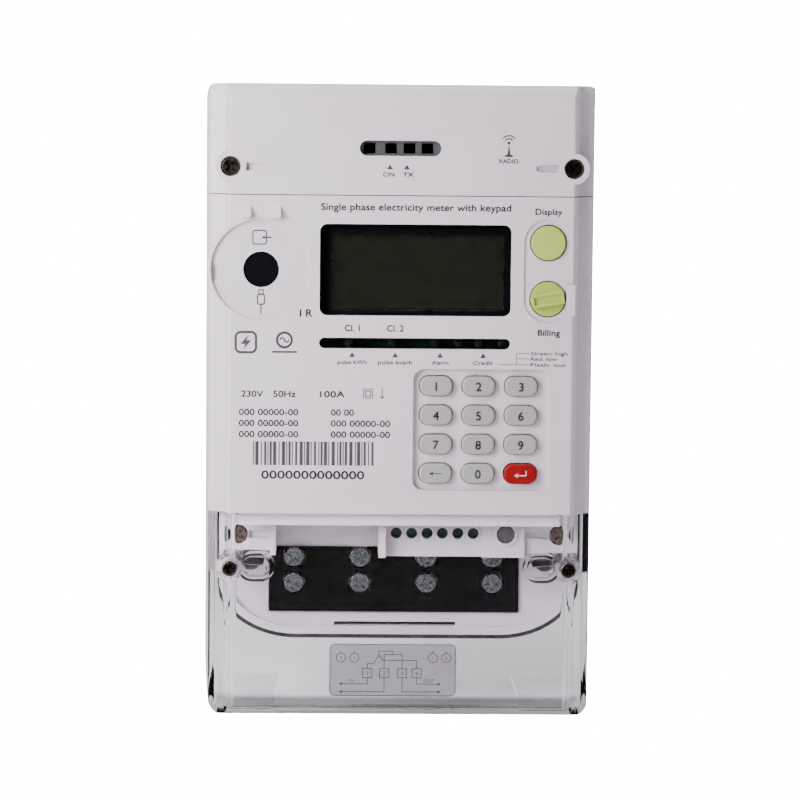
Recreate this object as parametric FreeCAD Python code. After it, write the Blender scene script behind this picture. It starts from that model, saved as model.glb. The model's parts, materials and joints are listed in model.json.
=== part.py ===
"""Prepaid electricity meter: wall-hung, single phase, keypad type, with a plug-in radio module.

Millimetres. +X is to the right of somebody facing the meter, +Y points into the wall, +Z is up.
The origin is on the back face, at the middle of the overall width and height.
"""

import FreeCAD, Part
import math
import os

V = FreeCAD.Vector

# ---------------------------------------------------------------- driving dimensions

HALF_WIDTH = 65.0         # outside of the case and the covers
HALF_HEIGHT = 103.5       # case top and terminal cover bottom
FRONT = -72.0             # front face of all three covers
RIM = -34.0               # plane where the covers meet the base
WALL = 2.2                # moulded wall
FACE_HALF = 56.0          # raised front panel
CORNER = 5.0              # outline corners at the top
GAP = 0.3                 # free gap between neighbouring covers

MODULE_Z = 67.7           # split between the main cover and the module cover
COVER_Z = -36.2           # lower edge of the main cover
SKIRT_Z = -60.0           # below this the terminal cover reaches the wall

LOWER_HALF = 60.0         # lower chamber of the base
LOWER_BOTTOM = -80.0
LOWER_CORNER = (26.0, 20.0)
FOOT_CORNER = (6.0, 15.0)  # long rounded lower corners of the terminal cover
LOWER_RIM = -47.0         # front edge of the lower chamber
DECK = -44.5              # white deck round the terminal block
DECK_INSET = 2.6          # width of the rim round the deck
SEAL_WIDTH = 1.3          # black sealing strip round that rim

SCREW_X = 55.6            # screws of the module cover and the terminal cover
MODULE_SCREW_Z = 76.6
COVER_SCREW_Z = -54.9
CASE_SCREW = (53.0, -44.4)
SEAL_CUP_X = 46.8
SEAL_CUP_Z = -54.4
WALL_HOLE = (48.6, -55.0)
WALL_HOLE_R = 2.4

DISPLAY = (4.5, 43.4, 62.1, 29.7)         # centre x, centre z, width, height
BEZEL_BANDS = (3.7, 2.3, 1.7, 3.7)        # black frame seen left, right, below and above
LED_STRIP = (4.4, 19.6, 62.1, 3.5)
LED_X = (-17.0, -2.8, 11.2, 18.9, 25.4, 33.0)
MODULE_SLOT = (-0.7, 82.8, 26.4, 4.9)
MODULE_LED_X = (-10.7, -3.8, 2.2, 8.0)

PORT = (-45.6, 43.3)      # optical port
PORT_R = 16.3             # seat of the 32 mm reading head
PORT_WINDOW_R = 5.8
PORT_SEAT_DEPTH = 1.0
PORT_LUG_X = (-52.3, -42.7)
PORT_LUG_WIDTH = 3.4
PORT_LUG_RISE = 2.6
RING_R = 13.5             # steel ring for the reading head's magnet

BUTTON_X = 47.5
BUTTON_Z = (52.6, 34.4)   # display button, billing knob
BUTTON_R = 5.6
BUTTON_HOLE_R = 6.0
BUTTON_RECESS = (47.4, 43.5, 15.4, 33.6)
BUTTON_RECESS_DEPTH = 0.5
KNOB_TILT = 10.0          # degrees

KEYPAD = (26.4, -8.5, 44.7, 39.8)
KEYPAD_DEPTH = 1.8
KEY_PITCH = (13.85, 9.53)
KEY_SIZE = (10.65, 6.4)
KEYS_OFFSET = -1.0        # the keys sit left of the recess's middle
KEY_ROWS = (("1", "2", "3"), ("4", "5", "6"), ("7", "8", "9"), ("back", "0", "enter"))

TERMINAL_X = (-34.8, -12.6, 9.6, 31.8)
TERMINAL_Z = (-54.1, -62.8)
TERMINAL_HEAD_R = 3.4
TERMINAL_SHANK_R = 2.4
CABLE_Y = -29.0
CABLE_R = 4.6
BLOCK_ENTRY_R = 6.0       # wider ways in through the block and the case
CASE_ENTRY_R = 6.8
BLOCK = (-43.0, 40.4, -72.5, -50.9)       # x low, x high, z low, z high
BLOCK_FRONT = -45.6
BLOCK_BACK = -14.0
CLAMP = (6.5, -38.0, -21.0, -69.0, -46.4)    # half width, front, back, z low, z high
CLAMP_SEAT = 0.2          # room round a clamp in the block
DRAIN_SLOT = (-21.2, 19.6, 1.3)               # x low, x high, height of the slot at the deck's foot

AUX_PITCH = 5.08
AUX_X = [-0.8 + AUX_PITCH * i for i in range(6)]
AUX_Z = -44.0
AUX_WIRE_Y = -53.0
AUX_WIRE_R = 1.3
PLUNGER_X = 35.3
PLUNGER_R = 2.85

BOARD_Y = -12.0           # front face of the main board
FRONT_BOARD_Y = -60.8     # front face of the display board
BOARD_T = 1.6
FLOOR = -2.2              # inside of the back wall
COVER_POSTS = ((-50.0, 60.5), (-50.0, -26.0), (-8.0, -26.0), (50.5, 18.0), (39.2, 61.2))
BOARD_POSTS = ((-52.0, -26.0), (52.0, -26.0), (-52.0, 58.0), (52.0, 58.0))

LUG_HALF = 9.0            # hanging lug that slides out above the case
LUG_HOLE_R = 2.75
LUG_TOP = 102.0
LUG_LENGTH = 31.0

APRON_LEFT = (-59.0, -40.6, -49.6, -62.0)     # x low, x high, z low, front face
APRON_PANEL = (-6.7, 29.2, -51.7, -60.0)
APRON_CAP = (27.6, 41.5, -51.7, -62.0)
APRON_RIGHT = (41.3, 59.0, -50.2, -60.5)

CASE_THREAD_R = 1.5       # pilot holes for the cover and case screws
RECESS_ARM = 0.66         # cross recess of every screw, as parts of the head's radius
RECESS_HALF = 0.18
RECESS_DEPTH = 1.4
SEAL_SLOT = (7.4, 2.7, 2.0, 0.7)              # length, height, depth at the screw and at the tip
LABEL = (-1.8, -88.1, 41.6, 17.4)             # wiring label: centre x, centre z, width, height
CABLE_SLOT_HALF = 41.0    # cable opening in the clear cover's foot
CABLE_SLOT_FRONT = -60.0

# ---------------------------------------------------------------- helpers


def box(x0, x1, y0, y1, z0, z1):
    """Rectangular block between two corners."""
    return Part.makeBox(x1 - x0, y1 - y0, z1 - z0, V(x0, y0, z0))


def cyl_y(x, z, r, y0, y1):
    """Cylinder along Y."""
    return Part.makeCylinder(r, y1 - y0, V(x, y0, z), V(0, 1, 0))


def cyl_z(x, y, r, z0, z1):
    """Cylinder along Z."""
    return Part.makeCylinder(r, z1 - z0, V(x, y, z0), V(0, 0, 1))


def corner_arc(before, point, after, radius):
    """Start, middle and end of the arc that rounds one corner of an outline."""
    u = (before - point).normalize()
    w = (after - point).normalize()
    half = u.getAngle(w) / 2
    reach = radius / math.tan(half)
    centre = point + (u + w).normalize() * (radius / math.sin(half))
    middle = centre + (point - centre).normalize() * radius
    return point + u * reach, middle, point + w * reach


def outline(points, plane):
    """Closed face from (a, b, corner radius) points in plane xy, xz or yz."""
    along = {"xy": (V(1, 0, 0), V(0, 1, 0)), "xz": (V(1, 0, 0), V(0, 0, 1)), "yz": (V(0, 1, 0), V(0, 0, 1))}
    first, second = along[plane]
    corners = [first * a + second * b for a, b, _ in points]
    edges = []
    ends = []
    for i, (_, _, radius) in enumerate(points):
        point = corners[i]
        if radius == 0:
            ends.append((point, point))
            continue
        start, middle, stop = corner_arc(corners[i - 1], point, corners[(i + 1) % len(points)], radius)
        edges.append(Part.Arc(start, middle, stop).toShape())
        ends.append((start, stop))
    for i, (start, _) in enumerate(ends):
        previous = ends[i - 1][1]
        if (start - previous).Length > 1e-6:
            edges.append(Part.LineSegment(previous, start).toShape())
    return Part.Face(Part.Wire(Part.__sortEdges__(edges)))


def prism(points, plane, low, high):
    """Outline extruded along the axis that its plane leaves out."""
    axis = {"xy": V(0, 0, 1), "xz": V(0, 1, 0), "yz": V(1, 0, 0)}[plane]
    solid = outline(points, plane).extrude(axis * (high - low))
    solid.translate(axis * low)
    return solid


def plate(cx, cz, width, height, radius, y0, y1):
    """Rounded rectangle, or stadium, between two depths."""
    a, b = width / 2, height / 2
    radius = min(radius, min(a, b) - 0.001)
    corners = [(cx - a, cz - b), (cx + a, cz - b), (cx + a, cz + b), (cx - a, cz + b)]
    return prism([(x, z, radius) for x, z in corners], "xz", y0, y1)


def fuse(shapes):
    """One solid from pieces that overlap or touch."""
    return shapes[0].multiFuse(shapes[1:]).removeSplitter()


def cut(shape, tools):
    """Shape with every tool taken away."""
    return shape.cut(Part.makeCompound(tools))


def group(shapes):
    """Separate solids that share one node."""
    return Part.makeCompound(shapes)


def cover_profile(inset):
    """Cross-section of the covers: raised panel, sloping flank, shoulder and side."""
    right = [
        (FACE_HALF - inset, FRONT + inset, 0.9),
        (FACE_HALF + 1.4 - inset, FRONT + 5.0 + inset, 0.8),
        (HALF_WIDTH - 2.4 - inset, FRONT + 6.6 + inset, 2.4),
        (HALF_WIDTH - inset, RIM, 0),
    ]
    left = [(-x, y, r) for x, y, r in reversed(right)]
    return left + right


def u_prism(half, bottom, corner, inset, top, y0, y1):
    """U-shaped front view between two depths: straight sides, elliptical lower corners, flat bottom."""
    half -= inset
    bottom += inset
    major = corner[0] - inset
    minor = corner[1] - inset
    cx = half - major
    cz = bottom + minor
    edges = [Part.LineSegment(V(-cx, y0, bottom), V(cx, y0, bottom)).toShape()]
    for side in (1, -1):
        ends = [V(side * half, y0, cz), V(side * cx, y0, bottom)]
        if minor > major:
            ends.reverse()
        ellipse = Part.Ellipse(ends[0], ends[1], V(side * cx, y0, cz))
        edges.append(Part.ArcOfEllipse(ellipse, 0, math.pi / 2).toShape())
        edges.append(Part.LineSegment(V(side * half, y0, cz), V(side * half, y0, top)).toShape())
    edges.append(Part.LineSegment(V(-half, y0, top), V(half, y0, top)).toShape())
    return Part.Face(Part.Wire(Part.__sortEdges__(edges))).extrude(V(0, y1 - y0, 0))


def lower_prism(inset, top, y0, y1):
    """Lower chamber of the base between two depths."""
    return u_prism(LOWER_HALF, LOWER_BOTTOM, LOWER_CORNER, inset, top, y0, y1)


def seal_slot(side, x_deep, z, y_face):
    """Ramped slot beside a screw, where the sealing wire is led in; deep at the screw."""
    length, height, deep, shallow = SEAL_SLOT
    inner_end = x_deep - side * length
    points = [(x_deep, y_face - 1, 0), (x_deep, y_face + deep, 0), (inner_end, y_face + shallow, 0),
              (inner_end, y_face - 1, 0)]
    ramp = prism(points, "xy", z - height / 2, z + height / 2)
    shape = prism([(x_deep, z - height / 2, 0), (x_deep, z + height / 2, 0), (inner_end, z + 0.9, 0.8),
                   (inner_end, z - 0.9, 0.8)], "xz", y_face - 1, y_face + deep)
    return ramp.common(shape)


def screw(x, z, head_r, head_y, head_h, shank_r, tip_y, recess):
    """Pan-head screw along +Y with a cross or slot recess in its head."""
    head = cyl_y(x, z, head_r, head_y, head_y + head_h)
    head = head.makeFillet(0.45, [head.Edges[i] for i in front_ring(head, head_y)])
    shank = cyl_y(x, z, shank_r, head_y + head_h - 0.1, tip_y)
    body = fuse([head, shank])
    arm = head_r * RECESS_ARM
    half = head_r * RECESS_HALF
    cuts = []
    for angle in recess:
        bar = box(-arm, arm, head_y - 0.5, head_y + RECESS_DEPTH, -half, half)
        bar.rotate(V(0, 0, 0), V(0, 1, 0), angle)
        bar.translate(V(x, 0, z))
        cuts.append(bar)
    return cut(body, cuts)


def front_ring(shape, y):
    """Indices of the edges that lie wholly at one depth."""
    found = []
    for i, edge in enumerate(shape.Edges):
        limits = edge.BoundBox
        if abs(limits.YMin - y) < 1e-4 and abs(limits.YMax - y) < 1e-4:
            found.append(i)
    return found


def soften(shape, y, radius):
    """Round the edges at one depth."""
    return shape.makeFillet(radius, [shape.Edges[i] for i in front_ring(shape, y)])


# ---------------------------------------------------------------- case


def base_case():
    """Rear tray: upper box to the rim, deeper lower chamber with a U-shaped bottom."""
    top = [(-HALF_WIDTH, SKIRT_Z, 0.8), (HALF_WIDTH, SKIRT_Z, 0.8),
           (HALF_WIDTH, HALF_HEIGHT, CORNER), (-HALF_WIDTH, HALF_HEIGHT, CORNER)]
    section = [(-HALF_WIDTH, RIM, 0), (HALF_WIDTH, RIM, 0), (HALF_WIDTH, 0, 2.5), (-HALF_WIDTH, 0, 2.5)]
    upper = prism(top, "xz", RIM, 0).common(prism(section, "xy", SKIRT_Z, HALF_HEIGHT))
    lower = lower_prism(0, COVER_Z - 0.4, LOWER_RIM, 0)
    bosses = []
    for side in (-1, 1):
        bosses.append(cyl_y(side * SCREW_X, COVER_SCREW_Z, 3.2, -49.5, -30))
    shell = fuse([upper, lower] + bosses)
    inner = HALF_WIDTH - WALL
    hollow = prism([(-inner, SKIRT_Z + WALL, 1), (inner, SKIRT_Z + WALL, 1), (inner, HALF_HEIGHT - WALL, 3),
                    (-inner, HALF_HEIGHT - WALL, 3)], "xz", RIM - 1, FLOOR)
    keep_lower = box(-70, 70, LOWER_RIM - 1, RIM, -90, COVER_Z)
    hollow = hollow.cut(keep_lower)
    deck_recess = lower_prism(DECK_INSET, COVER_Z - DECK_INSET, LOWER_RIM - 1, DECK)
    cavity = lower_prism(DECK_INSET, COVER_Z - DECK_INSET, DECK + 2.0, FLOOR)
    shell = cut(shell, [hollow, deck_recess, cavity])
    added = [cyl_y(s * SCREW_X, COVER_SCREW_Z, 3.2, -49.5, FLOOR + 0.5) for s in (-1, 1)]
    added += [cyl_y(s * CASE_SCREW[0], CASE_SCREW[1], 3.6, -46.8, -28) for s in (-1, 1)]
    added += [cyl_y(s * WALL_HOLE[0], WALL_HOLE[1], 5.2, DECK, 0) for s in (-1, 1)]
    added.append(back_stiffener())
    added += [cyl_y(x, z, 3.0, BOARD_Y + BOARD_T, FLOOR + 0.5) for x, z in BOARD_POSTS]
    added += [cyl_y(s * 40, 90, 3.5, RIM, FLOOR + 0.5) for s in (-1, 1)]
    added.append(box(-inner - 0.5, inner + 0.5, RIM, FLOOR + 0.5, MODULE_Z - 0.8, MODULE_Z + 1.2))
    added.append(box(-inner - 0.5, inner + 0.5, RIM, RIM + 2.0, MODULE_Z - 0.8, HALF_HEIGHT - 1.5))
    added += [box(x - 1, x + 1, BLOCK_BACK, FLOOR + 0.5, -70, -50) for x in (-24, 0, 21)]
    shell = fuse([shell] + added)
    drills = [cyl_y(s * SCREW_X, COVER_SCREW_Z, CASE_THREAD_R, -50, -36) for s in (-1, 1)]
    drills += [cyl_y(s * CASE_SCREW[0], CASE_SCREW[1], CASE_THREAD_R, -47.5, -32) for s in (-1, 1)]
    drills += [cyl_y(s * WALL_HOLE[0], WALL_HOLE[1], WALL_HOLE_R, -50, 1) for s in (-1, 1)]
    drills += [cyl_y(s * WALL_HOLE[0], WALL_HOLE[1], 3.9, -50, -5) for s in (-1, 1)]
    drills += [cyl_y(x, z, 1.2, BOARD_Y + BOARD_T - 1, -5) for x, z in BOARD_POSTS]
    drills += [cyl_y(s * SCREW_X, MODULE_SCREW_Z, CASE_THREAD_R, RIM - 1, -22) for s in (-1, 1)]
    drills.append(box(-14.5, 14.5, RIM - 1, RIM + 3, 82.4, 89.6))
    x0, x1, z0, z1 = BLOCK
    drills.append(box(x0 - GAP, x1 + GAP, DECK - 1, DECK + 3, z0 - GAP, z1 + GAP))
    left, right, height = DRAIN_SLOT
    foot = LOWER_BOTTOM + DECK_INSET
    drills.append(box(left, right, DECK - 1, DECK + 3, foot, foot + height))
    drills += [cyl_z(x, CABLE_Y, CASE_ENTRY_R, LOWER_BOTTOM - 1, LOWER_BOTTOM + 5) for x in TERMINAL_X]
    drills.append(lug_pocket())
    shell = cut(shell, drills)
    columns = []
    for s in (-1, 1):
        column = cyl_y(s * SCREW_X, MODULE_SCREW_Z, 3.4, RIM + 2, FLOOR + 0.5)
        columns.append(column.cut(cyl_y(s * SCREW_X, MODULE_SCREW_Z, CASE_THREAD_R, RIM - 1, -22)))
    return fuse([shell] + columns)


def lug_pocket():
    """Guide for the hanging lug: a pocket in the back, behind two lips, open at the top."""
    pocket = box(-LUG_HALF - 0.2, LUG_HALF + 0.2, -3.2, -0.99, 70, HALF_HEIGHT + 1)
    window = box(-LUG_HALF + 1.6, LUG_HALF - 1.6, -1.0, 1, 70, HALF_HEIGHT + 1)
    return pocket.fuse(window)


def back_stiffener():
    """Local thickening of the back wall round the lug pocket."""
    return box(-LUG_HALF - 3, LUG_HALF + 3, -5.4, FLOOR + 0.1, 68.5, HALF_HEIGHT - 1)


def rim_seal():
    """Black sealing strip round the U-shaped rim of the lower chamber."""
    ring = lower_prism(-SEAL_WIDTH, COVER_Z, LOWER_RIM, DECK)
    ring = ring.cut(lower_prism(0, COVER_Z, LOWER_RIM - 1, DECK + 1))
    return ring.common(box(-70, 70, -60, -30, -90, SKIRT_Z - 1.5))


def port_boss():
    """Round seat of the reading head, which runs out over the left flank."""
    boss = cyl_y(*PORT, PORT_R + 1.1, FRONT, FRONT + 10)
    return soften(boss, FRONT, 0.6)


def port_lugs():
    """Two ramped lugs above the reading head's seat."""
    lugs = []
    low = PORT[1] + PORT_R + 0.3
    points = [(FRONT + 0.5, low, 0), (FRONT - PORT_LUG_RISE, low + 0.2, 0.3),
              (FRONT - PORT_LUG_RISE + 0.2, low + 1.5, 0.4), (FRONT + 0.5, low + 4.9, 0)]
    for x in PORT_LUG_X:
        lugs.append(prism(points, "yz", x, x + PORT_LUG_WIDTH))
    return lugs


def apron():
    """Lower part of the main cover inside the terminal zone: two screw tabs and the auxiliary panel."""
    solids = []
    hollows = []
    top = COVER_Z + 1.0
    back = LOWER_RIM - GAP
    for x0, x1, z0, front in (APRON_LEFT, APRON_PANEL, APRON_CAP, APRON_RIGHT):
        solids.append(box(x0, x1, front, back, z0, top))
        hollows.append(box(x0 + 1.8, x1 - 1.8, front + 2.0, back + 1, z0 + 2.0, COVER_Z))
    solids.append(box(-42.5, -40.6, -62.5, back, -51.3, top))
    solids.append(box(-6.7, -4.4, -64.5, back, -51.7, top))
    shell = fuse(solids)
    rings = [cyl_y(x, AUX_Z, 2.45, -60.5, -59) for x in AUX_X]
    rings.append(cyl_y(PLUNGER_X, AUX_Z, 3.9, -62.5, -61))
    bosses = [cyl_y(s * CASE_SCREW[0], CASE_SCREW[1], 4.4, -58, back) for s in (-1, 1)]
    shell = fuse([cut(shell, hollows)] + rings + bosses)
    drills = [cyl_y(x, AUX_Z, 1.9, -66, -57.9) for x in AUX_X]
    drills += [cyl_z(x, AUX_WIRE_Y, AUX_WIRE_R + 0.3, -53, -49) for x in AUX_X]
    drills.append(cyl_y(PLUNGER_X, AUX_Z, PLUNGER_R + 0.2, -66, -57.9))
    for side, face in ((-1, APRON_LEFT[3]), (1, APRON_RIGHT[3])):
        drills.append(cyl_y(side * CASE_SCREW[0], CASE_SCREW[1], 3.3, -66, -57.5))
        drills.append(cyl_y(side * CASE_SCREW[0], CASE_SCREW[1], 1.9, -66, back + 1))
        drills.append(seal_slot(side, side * 49.5, CASE_SCREW[1], face))
    return cut(shell, drills)


def front_cover():
    """Main cover: shell with the display, keypad, buttons, optical port and the apron below."""
    low, high = COVER_Z, MODULE_Z - GAP
    shell = prism(cover_profile(0), "xy", low, high)
    shell = fuse([shell, port_boss()] + port_lugs())
    hollow = prism(cover_profile(WALL), "xy", low + WALL, high - WALL)
    deep = box(-HALF_WIDTH + WALL, HALF_WIDTH - WALL, RIM - 0.5, RIM + 1, low + WALL, high - WALL)
    shell = cut(shell, [hollow, deep])
    behind = FRONT + WALL
    cx, cz, width, height = KEYPAD
    pads = [plate(cx, cz, width + 3, height + 3, 5, behind - 0.2, behind + KEYPAD_DEPTH)]
    pads.append(cyl_y(*PORT, PORT_R, behind - 0.2, behind + 1.0))
    pads += [cyl_y(BUTTON_X, z, BUTTON_HOLE_R + 1.5, behind - 0.2, -66.0) for z in BUTTON_Z]
    pads.append(box(53.4, 56.2, FRONT - 2.4, FRONT + 1, 29.0, 39.2))
    pads.append(box(-52.5, 52.5, FRONT + WALL + GAP, FRONT + WALL + 2.3, COVER_Z - 4.1, COVER_Z + 3))
    pads += [cyl_y(x, z, 2.0, behind - 0.2, FRONT_BOARD_Y) for x, z in COVER_POSTS]
    pads += [box(x - 6, x + 6, RIM - 2, RIM + 3, high - WALL - 1.5, high - WALL) for x in (-30, 30)]
    shell = fuse([shell] + pads)
    cuts = [cyl_y(x, z, 1.1, -67, -60) for x, z in COVER_POSTS]
    cuts.append(plate(*DISPLAY, 2.5, FRONT - 1, behind + 1))
    cuts.append(plate(*LED_STRIP, 2, FRONT - 1, behind + 1))
    cuts.append(plate(*KEYPAD, 3.6, FRONT - 1, FRONT + KEYPAD_DEPTH))
    cuts.append(plate(*BUTTON_RECESS, 8, FRONT - 0.001, FRONT + BUTTON_RECESS_DEPTH))
    cuts += [cyl_y(BUTTON_X, z, BUTTON_HOLE_R, FRONT - 3, -60) for z in BUTTON_Z]
    cuts.append(cyl_y(*PORT, PORT_R, FRONT - 0.001, FRONT + PORT_SEAT_DEPTH))
    cuts.append(cyl_y(*PORT, PORT_WINDOW_R, FRONT - 1, behind + 3))
    cuts.append(port_notch())
    cuts.append(cyl_y(*PORT, RING_R + GAP, behind + 1.0, FRONT + 9.9))
    cuts.append(cyl_z(54.9, FRONT - 1.2, 0.6, 28, 41))
    for _, x, z in key_places():
        cuts.append(plate(x, z, KEY_SIZE[0] + 0.6, KEY_SIZE[1] + 0.6, 3.2, FRONT, behind + 3))
    return fuse([cut(shell, cuts), apron()])


def port_notch():
    """Finger-wide locating notch at the left edge of the reading head's seat."""
    notch = cyl_y(PORT[0] - PORT_R - 2.0, PORT[1] - 1.0, 4.2, FRONT + 0.9, FRONT + 2.2)
    seat = cyl_y(*PORT, PORT_R, FRONT, FRONT + 3)
    return notch.common(seat)


def display_window():
    """Clear window: a plug in the cover's opening on a flange behind it."""
    cx, cz, width, height = DISPLAY
    plug = plate(cx, cz, width - 0.3, height - 0.3, 2.4, FRONT + 1.0, FRONT + WALL + 0.1)
    flange = plate(cx, cz, width + 4, height + 2.6, 1.5, FRONT + WALL, FRONT + WALL + 1.2)
    return fuse([plug, flange])


def lcd_bezel():
    """Black frame behind the window."""
    cx, cz, width, height = DISPLAY
    y0 = FRONT + WALL + 1.2
    frame = plate(cx, cz, width + 3, height + 2.4, 1, y0, y0 + 1.2)
    left, right, low, high = BEZEL_BANDS
    middle = (cx + (left - right) / 2, cz + (low - high) / 2)
    view = (width - left - right, height - low - high)
    return frame.cut(plate(*middle, *view, 0.6, y0 - 1, y0 + 2))


def lcd_panel():
    """Liquid-crystal glass: front and rear sheet with a contact ledge at the foot."""
    cx, cz, width, height = DISPLAY
    y0 = FRONT + WALL + 2.4
    front = box(cx - width / 2, cx + width / 2, y0, y0 + 1.1, cz - height / 2 + 1.4, cz + height / 2)
    rear = box(cx - width / 2, cx + width / 2, y0 + 1.1, y0 + 2.2, cz - height / 2, cz + height / 2)
    return fuse([front, rear])


def backlight():
    """Light guide behind the glass, on four feet that stand on the display board."""
    cx, cz, width, height = DISPLAY
    y0 = FRONT + WALL + 4.6
    half_x = width / 2
    half_z = height / 2
    guide = box(cx - half_x + 1, cx + half_x - 1, y0, y0 + 2.4, cz - half_z + 1, cz + half_z - 1)
    feet = []
    for sx in (-1, 1):
        for sz in (-1, 1):
            x = cx + sx * (half_x - 5)
            z = cz + sz * (half_z - 5)
            feet.append(cyl_y(x, z, 1.5, y0 + 2.3, FRONT_BOARD_Y))
    return fuse([guide] + feet)


def led_lens():
    """Dark strip lens over the pulse and status lamps."""
    cx, cz, width, height = LED_STRIP
    plug = plate(cx, cz, width - 0.3, height - 0.3, 2, FRONT + 0.7, FRONT + WALL + 0.1)
    flange = plate(cx, cz, width + 2.4, height + 2.4, 1, FRONT + WALL, FRONT + WALL + 0.9)
    return fuse([plug, flange])


def pulse_leds():
    """Six 3 mm lamps on the display board."""
    lamps = []
    for x in LED_X:
        body = cyl_y(x, LED_STRIP[1], 1.5, -67.6, FRONT_BOARD_Y)
        foot = cyl_y(x, LED_STRIP[1], 1.8, -62.0, FRONT_BOARD_Y)
        lamps.append(fuse([soften(body, -67.6, 1.2), foot]))
    return group(lamps)


def optical_window():
    """Infrared window of the optical port."""
    disc = cyl_y(*PORT, PORT_WINDOW_R - 0.1, FRONT + 1.6, FRONT + 4.0)
    flange = cyl_y(*PORT, PORT_WINDOW_R + 1.6, FRONT + WALL + 1.0, FRONT + WALL + 2.0)
    return fuse([disc, flange])


def magnet_ring():
    """Steel ring behind the seat, which holds the reading head's magnet."""
    y0 = FRONT + WALL + 1.0
    return cyl_y(*PORT, RING_R, y0, y0 + 1.5).cut(cyl_y(*PORT, 8.0, y0 - 1, y0 + 3))


def infrared_diodes():
    """Sender and receiver behind the optical window."""
    diodes = []
    for dx in (-3.2, 3.2):
        lamp = soften(cyl_y(PORT[0] + dx, PORT[1], 2.2, -67.0, FRONT_BOARD_Y), -67.0, 1.5)
        diodes.append(lamp)
    return group(diodes)


# ---------------------------------------------------------------- keys and buttons


def key_places():
    """Name and centre of every key, row by row from the top left."""
    places = []
    for row, names in enumerate(KEY_ROWS):
        for column, name in enumerate(names):
            x = KEYPAD[0] + KEYS_OFFSET + (column - 1) * KEY_PITCH[0]
            z = KEYPAD[1] + (1.5 - row) * KEY_PITCH[1]
            places.append((name, x, z))
    return places


def key(x, z):
    """Key cap with a soft top edge, a flange behind the cover and a stem to the mat."""
    cap = plate(x, z, KEY_SIZE[0], KEY_SIZE[1], 2.9, FRONT - 0.3, FRONT + 6)
    cap = soften(cap, FRONT - 0.3, 0.7)
    flange = plate(x, z, KEY_SIZE[0] + 2.0, KEY_SIZE[1] + 1.8, 3, FRONT + 4.4, FRONT + 5.6)
    stem = cyl_y(x, z, 2.2, FRONT + 5, FRONT + 7.7)
    return fuse([cap, flange, stem])


def keypad_mat():
    """Silicone mat with one dome under each key, and a pad under each of the two buttons."""
    y0 = -63.0
    mat = plate(KEYPAD[0], KEYPAD[1], KEYPAD[2] + 2, KEYPAD[3] + 2, 3, y0 + 0.8, FRONT_BOARD_Y)
    domes = [Part.makeCone(2.0, 3.2, 1.0, V(x, y0, z), V(0, 1, 0)) for _, x, z in key_places()]
    pads = [fuse([cyl_y(BUTTON_X, z, 5.0, y0 + 0.8, FRONT_BOARD_Y),
                  Part.makeCone(2.0, 3.2, 1.0, V(BUTTON_X, y0, z), V(0, 1, 0))]) for z in BUTTON_Z]
    return group([fuse([mat] + domes)] + pads)


def display_button():
    """Round push button with a retaining flange."""
    cap = soften(cyl_y(BUTTON_X, BUTTON_Z[0], BUTTON_R, FRONT - 0.6, -65.0), FRONT - 0.6, 0.5)
    flange = cyl_y(BUTTON_X, BUTTON_Z[0], BUTTON_R + 1.3, -65.6, -64.8)
    return fuse([cap, flange])


def billing_plunger():
    """Flanged carrier behind the knob, which the knob turns in and pushes."""
    x, z = BUTTON_X, BUTTON_Z[1]
    body = fuse([cyl_y(x, z, BUTTON_R, -68.2, -65.0), cyl_y(x, z, BUTTON_R + 1.3, -65.6, -64.8)])
    return body.cut(cyl_y(x, z, 2.05, -70, -65.6))


def billing_knob():
    """Turning knob: disc with a raised grip bar, and a shaft in the plunger."""
    x, z = BUTTON_X, BUTTON_Z[1]
    disc = soften(cyl_y(x, z, BUTTON_R, FRONT - 0.2, -68.5), FRONT - 0.2, 0.3)
    bar = box(-5.2, 5.2, FRONT - 2.6, FRONT + 1, -2.1, 2.1)
    groove = box(-4.6, 4.6, FRONT - 3, FRONT - 1.9, -1.2, 1.2)
    bar = bar.cut(groove).common(cyl_y(0, 0, BUTTON_R - 0.1, FRONT - 3, FRONT + 2))
    bar.rotate(V(0, 0, 0), V(0, 1, 0), -KNOB_TILT)
    bar.translate(V(x, 0, z))
    shaft = cyl_y(x, z, 2.0, -69, -65.8)
    return fuse([disc, bar, shaft])


def tamper_plunger():
    """Push pin that feels whether the terminal cover is on."""
    pin = soften(cyl_y(PLUNGER_X, AUX_Z, PLUNGER_R, -62.0, -53.0), -62.0, 0.4)
    tip = cyl_y(PLUNGER_X, AUX_Z, 0.7, -62.3, -61.8)
    flange = cyl_y(PLUNGER_X, AUX_Z, 4.0, -59.4, -58.4)
    return fuse([pin, tip, flange])


def cover_switch():
    """Micro switch behind the tamper pin."""
    body = box(29.9, 39.6, -50.9, -47.6, -48.6, -39.4)
    return fuse([body, cyl_y(PLUNGER_X, AUX_Z, 1.2, -51.4, -50.8)])


# ---------------------------------------------------------------- terminals


def terminal_block():
    """Black block with four cable bores from below and two screw wells per terminal."""
    x0, x1, z0, z1 = BLOCK
    body = box(x0, x1, BLOCK_FRONT, BLOCK_BACK, z0, z1)
    cuts = []
    half, front, back, low, _ = CLAMP
    half += CLAMP_SEAT
    for x in TERMINAL_X:
        cuts.append(cyl_z(x, CABLE_Y, BLOCK_ENTRY_R, z0 - 1, low + 3))
        depth = (front - CLAMP_SEAT, back + CLAMP_SEAT)
        cuts.append(box(x - half, x + half, *depth, low - CLAMP_SEAT, z1 + 1))
        cuts.append(box(x - 4.2, x + 4.2, back, back + 2.2, -60.2, z1 + 1))
        cuts += [cyl_y(x, z, TERMINAL_HEAD_R + 0.4, BLOCK_FRONT - 1, -37) for z in TERMINAL_Z]
    return cut(body, cuts)


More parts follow.
